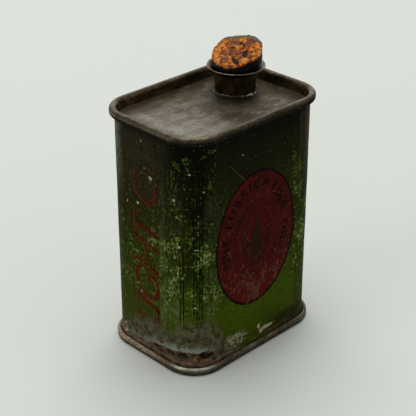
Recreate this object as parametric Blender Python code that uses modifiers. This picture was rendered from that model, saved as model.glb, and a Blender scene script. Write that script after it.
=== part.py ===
"""Rectangular tinplate oil can: a wrapped body, two rolled-on ends, a soldered neck and its cork.

Run with: blender --background --python part.py

Metres, +Z up. The origin is the middle of the base, where the lower rim stands on the table.
The wide faces look along -Y (front) and +Y (back), and the narrow faces along -X and +X.

Every sheet piece is an edge loop extruded along a section and given its thickness by Solidify.
A section is a list of (offset, height): how far the middle of the sheet lies outside the body's
outer face, and how high it is.
"""

import math

import bmesh
import bpy
from mathutils import Vector

MM = 0.001

# Overall sizes
BODY_WIDTH = 62.0 * MM
BODY_DEPTH = 43.6 * MM
CAN_HEIGHT = 90.0 * MM
CORNER_RADIUS = 10.3 * MM

# Sheet metal
TIN = 0.30 * MM
NECK_TIN = 0.35 * MM
GAP = 0.20 * MM  # clearance between sheets that touch in the real can
SOLDER_GAP = 0.15 * MM

# Rolled rims
RIM_REACH = 1.8 * MM  # how far a rim stands out from the body
RIM_HEIGHT = 3.0 * MM
TOP_RECESS = 4.4 * MM  # top of the rim down to the top panel
BOTTOM_RECESS = 3.6 * MM  # table up to the bottom panel
PANEL_BEND = 0.9 * MM  # where a panel turns into its wall
BASE_LAND = 0.6 * MM  # the flat that the lower rim stands on
SKIRT_HEIGHT = 7.0 * MM  # where the body starts to flare into the lower rim

# Side seam, a lap on the +X face
SEAM_Y = 8.0 * MM
SEAM_SLOT = 0.25 * MM
LAP_WIDTH = 4.0 * MM
LAP_ROOT = 1.5 * MM
LAP_END = 2.5 * MM  # the lap is notched this far short of each end piece
SEAM_SOLDER_WIDTH = 3.2 * MM
SEAM_SOLDER_HEIGHT = 0.40 * MM

# Solder run round the inside of each end
SEAM_BEAD_RADIUS = 0.40 * MM

# Neck
NECK_X = 17.2 * MM
NECK_Y = 6.6 * MM
NECK_RADIUS = 7.05 * MM  # outside of the tube at the top panel
NECK_TAPER = 0.40 * MM  # how much wider the tube is where its flare starts
NECK_HEIGHT = 9.5 * MM  # top panel to the lip
LIP_RADIUS = 10.4 * MM
LIP_FLARE = 2.6 * MM  # height of the flare under the lip
LIP_TURN = math.radians(68)  # how far the flare turns outwards
FOOT_WIDTH = 1.9 * MM  # flange under the top panel
FOOT_BEND = 0.5 * MM
NECK_SOLDER_WIDTH = 1.6 * MM
NECK_SOLDER_HEIGHT = 1.1 * MM

# Cork
CORK_INSERTION = 8.0 * MM  # below the lip
CORK_RISE = 4.7 * MM  # lip to the middle of the cork's top
CORK_RADIUS = 8.5 * MM  # the swollen head
CORK_TAPER = 0.6 * MM  # the tube's bore less the cork's lower end, on the radius
CORK_FIT = 0.25 * MM  # clearance to the tube at the waist
CORK_CHAMFER = 0.5 * MM
CORK_CUT = math.radians(20.5)  # slant of the top
CORK_CUT_TOWARDS = math.radians(190)  # the way that the top slopes down, from +X

# Smoothness
CORNER_STEPS = 6
ROUND_STEPS = 36

BODY_MIDDLE = -TIN / 2  # offset of the body sheet's middle
WALL_OFFSET = BODY_MIDDLE - TIN - GAP  # an end's wall, inside the body
CURL_OFFSET = RIM_REACH - TIN / 2  # an end's outermost sheet
CURL_RADIUS = (CURL_OFFSET - WALL_OFFSET) / 2
CURL_CENTRE = (CURL_OFFSET + WALL_OFFSET) / 2
BASE_RADIUS = CURL_RADIUS - BASE_LAND / 2  # the lower curl's two rounds
BASE_CENTRE = CURL_OFFSET - BASE_RADIUS  # the outer one
SKIRT_OFFSET = BASE_CENTRE - BASE_RADIUS + TIN + GAP  # the flared body sheet's middle
TOP_PANEL = CAN_HEIGHT - TOP_RECESS  # upper face
BOTTOM_PANEL = BOTTOM_RECESS + TIN  # upper face
LIP_TOP = TOP_PANEL + NECK_HEIGHT


# ---------------------------------------------------------------- helpers


def clear_scene():
    for obj in list(bpy.data.objects):
        bpy.data.objects.remove(obj, do_unlink=True)


def make_collection(name):
    made = bpy.data.collections.new(name)
    bpy.context.scene.collection.children.link(made)
    return made


def make_material(name, colour, roughness, metallic):
    made = bpy.data.materials.new(name)
    made.use_nodes = True
    shader = made.node_tree.nodes["Principled BSDF"]
    shader.inputs["Base Color"].default_value = (*colour, 1.0)
    shader.inputs["Roughness"].default_value = roughness
    shader.inputs["Metallic"].default_value = metallic
    made.diffuse_color = (*colour, 1.0)
    return made


def arc(centre, radius, start, end, steps):
    """Points (offset, height) on an arc, in degrees from +offset towards +height."""
    made = []
    for i in range(steps + 1):
        angle = math.radians(start + (end - start) * i / steps)
        made.append((centre[0] + radius * math.cos(angle), centre[1] + radius * math.sin(angle)))
    return made


def outline(offset, height):
    """The can's rounded rectangle, offset outside the body's outer face."""
    radius = CORNER_RADIUS + offset
    x = BODY_WIDTH / 2 - CORNER_RADIUS
    y = BODY_DEPTH / 2 - CORNER_RADIUS
    points = []
    for quarter, (cx, cy) in enumerate(((x, y), (-x, y), (-x, -y), (x, -y))):
        for step in range(CORNER_STEPS + 1):
            angle = math.radians(90) * (quarter + step / CORNER_STEPS)
            points.append(Vector((cx + radius * math.cos(angle), cy + radius * math.sin(angle), height)))
    return points


def extrude_ring(bm, ring, points):
    """Extrudes a closed ring of vertices and moves the new ring to the points."""
    edges = [bm.edges.get(pair) for pair in zip(ring, ring[1:] + ring[:1])]
    made = bmesh.ops.extrude_edge_only(bm, edges=edges)["geom"]
    new = {item for item in made if isinstance(item, bmesh.types.BMVert)}
    moved = []
    for old, point in zip(ring, points):
        twin = next(v for v in (e.other_vert(old) for e in old.link_edges) if v in new)
        twin.co = point
        moved.append(twin)
    return moved


def object_from(bm, name, material, collection):
    mesh = bpy.data.meshes.new(name)
    bm.to_mesh(mesh)
    bm.free()
    mesh.materials.append(material)
    mesh.shade_smooth()
    mesh.set_sharp_from_angle(angle=math.radians(35))
    obj = bpy.data.objects.new(name, mesh)
    collection.objects.link(obj)
    return obj


def add_solidify(obj, thickness):
    solid = obj.modifiers.new("sheet", "SOLIDIFY")
    solid.thickness = thickness
    solid.offset = 0
    solid.use_even_offset = True


def add_boolean(obj, name, operation, other):
    boolean = obj.modifiers.new(name, "BOOLEAN")
    boolean.operation = operation
    boolean.object = other
    boolean.solver = "EXACT"


def sheet_piece(name, section, has_panel, material, collection):
    """A sheet that follows the can's outline along a section, with its first ring filled as a panel."""
    bm = bmesh.new()
    ring = [bm.verts.new(point) for point in outline(*section[0])]
    for pair in zip(ring, ring[1:] + ring[:1]):
        bm.edges.new(pair)
    if has_panel:
        bm.faces.new(ring)
    for offset, height in section[1:]:
        ring = extrude_ring(bm, ring, outline(offset, height))
    bmesh.ops.recalc_face_normals(bm, faces=bm.faces)
    obj = object_from(bm, name, material, collection)
    add_solidify(obj, TIN)
    return obj


def turned_piece(name, profile, is_closed, material, collection):
    """A piece turned about the neck's axis, from (radius, height above the top panel)."""
    bm = bmesh.new()
    verts = [bm.verts.new((radius, 0, height)) for radius, height in profile]
    for pair in zip(verts, verts[1:] + (verts[:1] if is_closed else [])):
        bm.edges.new(pair)
    obj = object_from(bm, name, material, collection)
    obj.location = (NECK_X, NECK_Y, TOP_PANEL)
    screw = obj.modifiers.new("turn", "SCREW")
    screw.angle = math.tau
    screw.steps = screw.render_steps = ROUND_STEPS
    screw.use_merge_vertices = True
    screw.merge_threshold = 0.00001
    screw.use_smooth_shade = True
    return obj


def box(name, low, high, material, collection):
    bm = bmesh.new()
    bmesh.ops.create_cube(bm, size=1)
    low, high = Vector(low), Vector(high)
    for vert in bm.verts:
        vert.co = (low + high) / 2 + vert.co * (high - low)
    return object_from(bm, name, material, collection)


def hide(obj):
    obj.hide_render = True
    obj.display_type = "WIRE"
    return obj


def bead_ring(name, offset, height, radius, material, collection):
    """A round bead of solder that follows the can's outline."""
    curve = bpy.data.curves.new(name, "CURVE")
    curve.dimensions = "3D"
    curve.bevel_depth = radius
    curve.bevel_resolution = 1
    points = outline(offset, height)
    spline = curve.splines.new("POLY")
    spline.points.add(len(points) - 1)
    for place, point in zip(spline.points, points):
        place.co = (*point, 1)
    spline.use_cyclic_u = True
    curve.materials.append(material)
    obj = bpy.data.objects.new(name, curve)
    collection.objects.link(obj)
    return obj


# ---------------------------------------------------------------- body


def body_section():
    """From the hook inside the lower rim, up the wall, to the hook inside the upper rim."""
    lower_hook = arc((BASE_CENTRE, TIN / 2 + BASE_RADIUS), BASE_RADIUS - TIN - GAP, 370, 180, 7)
    flare = []
    steps = 4
    for i in range(steps + 1):
        rise = i / steps
        offset = BODY_MIDDLE + (SKIRT_OFFSET - BODY_MIDDLE) * (1 - rise) ** 2
        flare.append((offset, RIM_HEIGHT + (SKIRT_HEIGHT - RIM_HEIGHT) * rise))
    upper_centre = (CURL_CENTRE, CAN_HEIGHT - TIN / 2 - CURL_RADIUS)
    return lower_hook + flare + arc(upper_centre, CURL_RADIUS - TIN - GAP, 180, -10, 7)


def lap_span():
    """Lowest and highest point of the lap inside the can."""
    return BOTTOM_PANEL + LAP_END, TOP_PANEL - TIN - LAP_END


def make_body(material, collection, cutters):
    """One sheet wrapped into a tube. A slot parts its two ends, and a joggled lap bridges it inside."""
    body = sheet_piece("body_shell", body_section(), False, material, collection)
    wall_out = BODY_WIDTH / 2
    wall_in = wall_out - TIN
    low, high = lap_span()
    slot = hide(
        box(
            "seam_slot",
            (wall_in - 2 * TIN, SEAM_Y - SEAM_SLOT / 2, -RIM_HEIGHT),
            (wall_out + 2 * RIM_REACH, SEAM_Y + SEAM_SLOT / 2, CAN_HEIGHT + RIM_HEIGHT),
            material,
            cutters,
        )
    )
    joggle = hide(
        box(
            "lap_joggle",
            (wall_in - GAP - TIN, SEAM_Y - SEAM_SLOT / 2 - LAP_ROOT, low),
            (wall_in + TIN / 2, SEAM_Y - 2 * SEAM_SLOT, high),
            material,
            cutters,
        )
    )
    tongue = hide(
        box(
            "lap_tongue",
            (wall_in - GAP - TIN, SEAM_Y - 3 * SEAM_SLOT, low),
            (wall_in - GAP, SEAM_Y + LAP_WIDTH, high),
            material,
            cutters,
        )
    )
    add_boolean(body, "slot", "DIFFERENCE", slot)
    add_boolean(body, "joggle", "UNION", joggle)
    add_boolean(body, "tongue", "UNION", tongue)


def make_side_seam_solder(material, collection):
    """A low strip of solder over the slot, between the two rims."""
    wall_out = BODY_WIDTH / 2
    strip = box(
        "side_seam_solder",
        (wall_out + SOLDER_GAP, SEAM_Y - SEAM_SOLDER_WIDTH / 2, SKIRT_HEIGHT + GAP),
        (
            wall_out + SOLDER_GAP + SEAM_SOLDER_HEIGHT,
            SEAM_Y + SEAM_SOLDER_WIDTH / 2,
            CAN_HEIGHT - RIM_HEIGHT - GAP,
        ),
        material,
        collection,
    )
    bevel = strip.modifiers.new("soft edges", "BEVEL")
    bevel.width = SEAM_SOLDER_HEIGHT * 0.4
    bevel.segments = 2


# ---------------------------------------------------------------- ends


def top_section():
    """From the sunk panel, up inside the body, over its hook and under it again."""
    panel = TOP_PANEL - TIN / 2
    bend = arc((WALL_OFFSET - PANEL_BEND, panel + PANEL_BEND), PANEL_BEND, -90, 0, 3)
    upper = arc((CURL_CENTRE, CAN_HEIGHT - TIN / 2 - CURL_RADIUS), CURL_RADIUS, 180, 0, 8)
    tucked_in = math.degrees(math.asin((CURL_CENTRE - GAP - TIN / 2) / CURL_RADIUS))
    lower_centre = (CURL_CENTRE, CAN_HEIGHT - RIM_HEIGHT + TIN / 2 + CURL_RADIUS)
    lower = arc(lower_centre, CURL_RADIUS, 0, -90 - tucked_in, 5)
    return bend + upper + lower


def bottom_section():
    """From the raised panel, down inside the body, round its hook and over it again."""
    panel = BOTTOM_PANEL - TIN / 2
    bend = arc((WALL_OFFSET - PANEL_BEND, panel - PANEL_BEND), PANEL_BEND, 90, 0, 3)
    low = TIN / 2 + BASE_RADIUS
    inner = arc((WALL_OFFSET + BASE_RADIUS, low), BASE_RADIUS, 180, 270, 4)
    outer = arc((BASE_CENTRE, low), BASE_RADIUS, -90, 0, 4)
    tucked_in = math.degrees(math.acos((SKIRT_OFFSET + GAP + TIN / 2 - BASE_CENTRE) / BASE_RADIUS))
    upper_centre = (BASE_CENTRE, RIM_HEIGHT - TIN / 2 - BASE_RADIUS)
    return bend + inner + outer + arc(upper_centre, BASE_RADIUS, 0, tucked_in, 4)


def make_top_end(material, collection, cutters):
    top = sheet_piece("top_end", top_section(), True, material, collection)
    bm = bmesh.new()
    hole_radius = NECK_RADIUS - NECK_TIN / 2 + FOOT_BEND
    bmesh.ops.create_cone(
        bm,
        cap_ends=True,
        segments=ROUND_STEPS,
        radius1=hole_radius,
        radius2=hole_radius,
        depth=10 * TIN,
    )
    cutter = hide(object_from(bm, "neck_hole", material, cutters))
    cutter.location = (NECK_X, NECK_Y, TOP_PANEL - TIN / 2)
    add_boolean(top, "neck hole", "DIFFERENCE", cutter)


def make_seam_beads(material, collection):
    """Solder inside the can, in the corners between the body and the two panels."""
    offset = -TIN - SOLDER_GAP - SEAM_BEAD_RADIUS
    clear = SOLDER_GAP + SEAM_BEAD_RADIUS
    bead_ring("top_seam_solder", offset, TOP_PANEL - TIN - clear, SEAM_BEAD_RADIUS, material, collection)
    bead_ring("bottom_seam_solder", offset, BOTTOM_PANEL + clear, SEAM_BEAD_RADIUS, material, collection)


# ---------------------------------------------------------------- neck and cork


def tube_radius(height):
    """The outside of the neck's tube at a height above the top panel."""
    return NECK_RADIUS + NECK_TAPER * height / (NECK_HEIGHT - LIP_FLARE)


def neck_section():
    """(radius, height above the top panel) of the sheet's middle, from the foot flange to the lip."""
    foot = -TIN - GAP - NECK_TIN / 2
    foot_radius = tube_radius(foot) - NECK_TIN / 2
    bend = arc((foot_radius + FOOT_BEND, foot + FOOT_BEND), FOOT_BEND, 270, 180, 3)
    flare_start = NECK_HEIGHT - LIP_FLARE
    top_radius = tube_radius(flare_start) - NECK_TIN / 2
    out = (LIP_RADIUS - top_radius) / (1 - math.cos(LIP_TURN))
    rise = LIP_FLARE / math.sin(LIP_TURN)
    flare = []
    steps = 6
    for i in range(steps + 1):
        turn = LIP_TURN * i / steps
        flare.append((top_radius + out * (1 - math.cos(turn)), flare_start + rise * math.sin(turn)))
    return [(foot_radius + FOOT_WIDTH, foot)] + bend + flare


def make_neck(material, collection):
    neck = turned_piece("neck", neck_section()[::-1], False, material, collection)
    add_solidify(neck, NECK_TIN)


def make_neck_solder(material, collection):
    """A hollow fillet between the neck and the top panel."""
    inner = tube_radius(NECK_SOLDER_HEIGHT) + SOLDER_GAP
    width, height = NECK_SOLDER_WIDTH, NECK_SOLDER_HEIGHT
    steps = 4
    fillet = []
    for i in range(steps + 1):
        angle = math.radians(90) * i / steps
        fillet.append(
            (
                inner + 0.15 * width + 0.85 * width * (1 - math.sin(angle)),
                SOLDER_GAP + 0.15 * height + 0.85 * height * (1 - math.cos(angle)),
            )
        )
    profile = [(inner, SOLDER_GAP + height)] + fillet[::-1]
    profile += [(inner + width, SOLDER_GAP), (inner, SOLDER_GAP)]
    turned_piece("neck_solder", profile, True, material, collection)


def make_cork(material, collection, cutters):
    """Squeezed in the tube and swollen above it, with its top cut on a slant."""
    lip = NECK_HEIGHT
    flare_start = lip - LIP_FLARE
    head = lip + 2 * CORK_RISE + CORK_RADIUS * math.tan(CORK_CUT)
    foot = lip - CORK_INSERTION
    waist = tube_radius(flare_start) - NECK_TIN - CORK_FIT
    end = tube_radius(foot) - NECK_TIN - CORK_TAPER
    profile = [
        (0, head),
        (CORK_RADIUS, head),
        (CORK_RADIUS, lip + LIP_FLARE),
        (CORK_RADIUS - CORK_FIT, lip),
        (waist + 0.45 * (CORK_RADIUS - waist), lip - 0.35 * LIP_FLARE),
        (waist, flare_start + 0.25 * LIP_FLARE),
        (waist, flare_start),
        (end, foot + CORK_CHAMFER),
        (end - CORK_CHAMFER, foot),
        (0, foot),
    ]
    cork = turned_piece("cork_stopper", profile, False, material, collection)
    block_side = 6 * CORK_RADIUS
    block = hide(
        box(
            "cork_cut",
            (-block_side / 2, -block_side / 2, 0),
            (block_side / 2, block_side / 2, block_side / 2),
            material,
            cutters,
        )
    )
    block.location = (NECK_X, NECK_Y, LIP_TOP + CORK_RISE)
    tilt_axis = Vector((-math.sin(CORK_CUT_TOWARDS), math.cos(CORK_CUT_TOWARDS), 0))
    block.rotation_mode = "AXIS_ANGLE"
    block.rotation_axis_angle = (CORK_CUT, *tilt_axis)
    add_boolean(cork, "slanted top", "DIFFERENCE", block)


# ---------------------------------------------------------------- the can


def main():
    clear_scene()
    can = make_collection("oil_can")
    cutters = make_collection("cutters")
    printed = make_material("printed_tinplate", (0.030, 0.045, 0.012), 0.45, 0.3)
    bare = make_material("aged_tinplate", (0.085, 0.070, 0.052), 0.50, 0.8)
    solder = make_material("solder", (0.16, 0.15, 0.14), 0.45, 0.9)
    cork = make_material("cork", (0.42, 0.17, 0.045), 0.90, 0.0)

    make_body(printed, can, cutters)
    make_side_seam_solder(solder, can)
    make_top_end(bare, can, cutters)
    sheet_piece("bottom_end", bottom_section(), True, bare, can)
    make_seam_beads(solder, can)
    make_neck(bare, can)
    make_neck_solder(solder, can)
    make_cork(cork, can, cutters)


main()
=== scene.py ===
"""Looks of the cork-stoppered oil tin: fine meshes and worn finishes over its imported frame.

Metres, +Z up, in the frame's own coordinates. The printed front face looks along -Y, the lettered
narrow face along -X, and the camera sees both.
"""

import math

import bmesh
import bpy
import numpy as np
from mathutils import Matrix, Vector, noise


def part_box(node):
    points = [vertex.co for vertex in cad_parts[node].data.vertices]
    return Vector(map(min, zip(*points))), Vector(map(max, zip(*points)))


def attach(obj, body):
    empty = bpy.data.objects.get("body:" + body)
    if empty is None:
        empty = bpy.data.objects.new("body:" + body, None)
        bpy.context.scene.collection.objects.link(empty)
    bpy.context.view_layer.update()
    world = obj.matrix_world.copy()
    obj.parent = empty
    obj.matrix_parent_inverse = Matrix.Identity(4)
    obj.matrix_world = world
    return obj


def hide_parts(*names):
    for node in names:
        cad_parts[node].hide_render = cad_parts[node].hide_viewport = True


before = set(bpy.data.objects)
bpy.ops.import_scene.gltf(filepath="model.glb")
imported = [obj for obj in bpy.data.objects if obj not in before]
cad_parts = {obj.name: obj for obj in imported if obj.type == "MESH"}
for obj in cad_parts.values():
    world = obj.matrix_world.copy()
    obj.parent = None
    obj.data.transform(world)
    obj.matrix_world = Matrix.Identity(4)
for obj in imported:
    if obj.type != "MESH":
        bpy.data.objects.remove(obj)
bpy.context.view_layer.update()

MM = 0.001

# The can, from the frame
RIM_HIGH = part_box("top_end")[1]
NECK_LOW, NECK_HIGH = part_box("neck")
CORK_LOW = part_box("cork_stopper")[0]
SEAM_LOW, SEAM_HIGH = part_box("side_seam_solder")
FILLET_LOW, FILLET_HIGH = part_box("neck_solder")

# Sheet metal, as in the frame
TIN = 0.30 * MM
GAP = 0.20 * MM
RIM_REACH = 1.8 * MM
RIM_HEIGHT = 3.0 * MM
CORNER_RADIUS = 10.3 * MM
TOP_RECESS = 4.4 * MM
BOTTOM_RECESS = 3.6 * MM
PANEL_BEND = 0.9 * MM
BASE_LAND = 0.6 * MM
SKIRT_HEIGHT = 7.0 * MM
FOOT_BEND = 0.5 * MM
FOOT_WIDTH = 1.9 * MM
NECK_TIN = 0.35 * MM
NECK_RADIUS = 7.05 * MM
NECK_TAPER = 0.40 * MM
LIP_FLARE = 2.6 * MM
LIP_TURN = math.radians(68)
HOLE_INSET = 1.0 * MM  # from the solder's outside to the hole in the top panel
HOLE_DEPTH = 4.0 * MM

SEAM_MIDDLE = (SEAM_LOW.y + SEAM_HIGH.y) / 2
BODY_X = RIM_HIGH.x - RIM_REACH  # half sizes of the body's outer face
BODY_Y = RIM_HIGH.y - RIM_REACH
CAN_HEIGHT = RIM_HIGH.z
TOP_PANEL = CAN_HEIGHT - TOP_RECESS
BOTTOM_PANEL = BOTTOM_RECESS + TIN
STRAIGHT_X = BODY_X - CORNER_RADIUS
STRAIGHT_Y = BODY_Y - CORNER_RADIUS
QUARTER = CORNER_RADIUS * math.pi / 2
BODY_MIDDLE = -TIN / 2
WALL_OFFSET = BODY_MIDDLE - TIN - GAP
CURL_OFFSET = RIM_REACH - TIN / 2
CURL_RADIUS = (CURL_OFFSET - WALL_OFFSET) / 2
CURL_CENTRE = (CURL_OFFSET + WALL_OFFSET) / 2
BASE_RADIUS = CURL_RADIUS - BASE_LAND / 2
BASE_CENTRE = CURL_OFFSET - BASE_RADIUS
SKIRT_OFFSET = BASE_CENTRE - BASE_RADIUS + TIN + GAP

NECK_AXIS = (NECK_LOW + NECK_HIGH) / 2
LIP_TOP = NECK_HIGH.z
LIP_RADIUS = (NECK_HIGH.x - NECK_LOW.x) / 2

# Smoothness
SIDE_STEP = 1.4 * MM
CORNER_STEPS = 14
ROUND_STEPS = 96
SEAM_ROWS = 90
TOP_PANEL_RINGS = 26
BASE_PANEL_RINGS = 16

# Printing on the sheet. Its own coordinates are millimetres round the body from the middle of
# the front left corner, positive on the front face, and millimetres above the table.
HALF_ROUND = (STRAIGHT_X + STRAIGHT_Y + QUARTER) / MM  # the print repeats on the hidden faces
OVAL_ROUND = 27.7
OVAL_HEIGHT = 44.9
OVAL_HALF_WIDTH = 19.2
OVAL_HALF_HEIGHT = 25.5
INK = 0.03 * MM  # how far the printed letters stand off the sheet

# The photograph's point of view
VIEW_AZIMUTH = math.radians(-44.56)
VIEW_ELEVATION = math.radians(27.95)
VIEW_DISTANCE = 414.6 * MM
VIEW_TARGET = Vector((-1.37, 1.35, 47.70)) * MM
VIEW_WIDTH = math.radians(20.08)


# ---------------------------------------------------------------- meshes


def arc(centre, radius, start, end, steps):
    """Points (offset, height) on an arc, in degrees from +offset towards +height."""
    angles = np.radians(np.linspace(start, end, steps + 1))
    return [(centre[0] + radius * math.cos(a), centre[1] + radius * math.sin(a)) for a in angles]


def lump(place, size, seed=0.0):
    """Smooth noise from -1 to 1, whose lumps are about the given size."""
    return noise.noise(Vector(place) / size + Vector((seed, 3.7 * seed, 1.9 * seed)))


def outline():
    """Points, outward normals and places on the printed sheet, once round from the side seam."""
    points = []
    normals = []
    for quarter in range(4):
        turn = math.radians(90) * quarter
        normal = np.array((math.cos(turn), math.sin(turn)))
        along = np.array((-normal[1], normal[0]))
        half = STRAIGHT_Y if quarter % 2 == 0 else STRAIGHT_X
        reach = BODY_X if quarter % 2 == 0 else BODY_Y
        steps = 2 * math.ceil(half / SIDE_STEP)
        for step in range(steps + 1):
            points.append(normal * reach + along * half * (2 * step / steps - 1))
            normals.append(normal)
        centre = points[-1] - normal * CORNER_RADIUS
        for step in range(1, CORNER_STEPS):
            angle = turn + math.radians(90) * step / CORNER_STEPS
            normals.append(np.array((math.cos(angle), math.sin(angle))))
            points.append(centre + normals[-1] * CORNER_RADIUS)
    points = np.array(points)
    normals = np.array(normals)
    first = int(np.argmin(np.abs(points - np.array((BODY_X, SEAM_MIDDLE))).sum(1)))
    points = np.roll(points, -first, axis=0)
    normals = np.roll(normals, -first, axis=0)
    lengths = np.linalg.norm(np.diff(points, axis=0), axis=1)
    travelled = np.concatenate(([0], np.cumsum(lengths)))
    corner = int(np.argmin(np.abs(normals - np.array((-1, -1)) / math.sqrt(2)).sum(1)))
    return points, normals, travelled - travelled[corner]


def closed_grid(rings, first_cap, last_cap):
    """Vertices and faces of a skin over closed rings, with an n-gon on either end if asked."""
    count = len(rings[0])
    verts = [tuple(v) for ring in rings for v in ring]
    faces = []
    for r in range(len(rings) - 1):
        for i in range(count):
            j = (i + 1) % count
            faces.append((r * count + i, r * count + j, (r + 1) * count + j, (r + 1) * count + i))
    if first_cap:
        faces.append(tuple(range(count))[::-1])
    if last_cap:
        faces.append(tuple(range((len(rings) - 1) * count, len(rings) * count)))
    return verts, faces


def add_object(name, data):
    obj = bpy.data.objects.new(name, data)
    bpy.context.scene.collection.objects.link(obj)
    return obj


def mesh_of(name, bm):
    """A new mesh from a bmesh, which is freed."""
    mesh = bpy.data.meshes.new(name)
    bm.to_mesh(mesh)
    bm.free()
    return mesh


def mesh_object(name, verts, faces, material):
    mesh = bpy.data.meshes.new(name)
    mesh.from_pydata(verts, [], faces)
    bm = bmesh.new()
    bm.from_mesh(mesh)
    bmesh.ops.recalc_face_normals(bm, faces=bm.faces)
    bm.to_mesh(mesh)
    bm.free()
    mesh.materials.append(material)
    mesh.shade_smooth()
    return add_object(name, mesh)


def add_sheet_places(obj, values):
    """Stores the printed sheet's own coordinates, in millimetres, for the materials to read."""
    attribute = obj.data.attributes.new("sheet_place", "FLOAT_VECTOR", "POINT")
    attribute.data.foreach_set("vector", np.asarray(values, dtype=np.float32).ravel())


def add_solidify(obj, thickness):
    solid = obj.modifiers.new("sheet", "SOLIDIFY")
    solid.thickness = thickness
    solid.offset = 0
    solid.use_even_offset = True


def wrapped_sheet(name, section, shape, material, panel_rings=0):
    """A sheet that follows the body's outline along a section of (offset, height).

    shape(place, normal) moves each point along its normal. Panel rings close the first ring
    towards the middle, as a flat that the same function can dent.
    """
    points, normals, round_place = outline()
    rings = []
    places = []
    first = np.c_[points + normals * section[0][0], np.full(len(points), section[0][1])]
    for k in range(panel_rings):
        shrink = (k + 0.3) / panel_rings
        ring = first * (shrink, shrink, 1)
        ring[:, 2] += [shape(p, Vector((0, 0, 1))) for p in ring]
        rings.append(ring)
        places += [(u / MM, p[2] / MM, shrink * 20) for u, p in zip(round_place, ring)]
    for offset, height in section:
        ring = np.c_[points + normals * offset, np.full(len(points), height)]
        push = np.array([shape(p, Vector((*n, 0))) for p, n in zip(ring, normals)])
        ring[:, :2] += normals * push[:, None]
        rings.append(ring)
        places += [(u / MM, height / MM, 20 + offset / MM) for u in round_place]
    verts, faces = closed_grid(rings, panel_rings > 0, False)
    obj = mesh_object(name, verts, faces, material)
    add_sheet_places(obj, places)
    add_solidify(obj, TIN)
    return obj


def turned(name, profile, material, shape, thickness=0.0, closed=False):
    """A piece turned about the neck's axis from points of (radius, height).

    shape(radius, angle, height) gives each point's real radius and height.
    """
    rings = []
    for radius, height in profile:
        ring = []
        for step in range(ROUND_STEPS):
            angle = math.tau * step / ROUND_STEPS
            r, z = shape(radius, angle, height)
            ring.append((NECK_AXIS.x + r * math.cos(angle), NECK_AXIS.y + r * math.sin(angle), z))
        rings.append(ring)
    if closed:
        rings.append(rings[0])
    verts, faces = closed_grid(rings, False, False)
    obj = mesh_object(name, verts, faces, material)
    if closed:
        bm = bmesh.new()
        bm.from_mesh(obj.data)
        bmesh.ops.remove_doubles(bm, verts=bm.verts, dist=1e-7)
        bm.to_mesh(obj.data)
        bm.free()
    if thickness:
        add_solidify(obj, thickness)
    return obj


# ---------------------------------------------------------------- shader helpers


def srgb(screen):
    """A colour given as it looks on a screen, 0 to 255, as linear values."""
    values = [value / 255 for value in screen]
    return (*[v / 12.92 if v <= 0.04045 else ((v + 0.055) / 1.055) ** 2.4 for v in values], 1.0)


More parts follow.
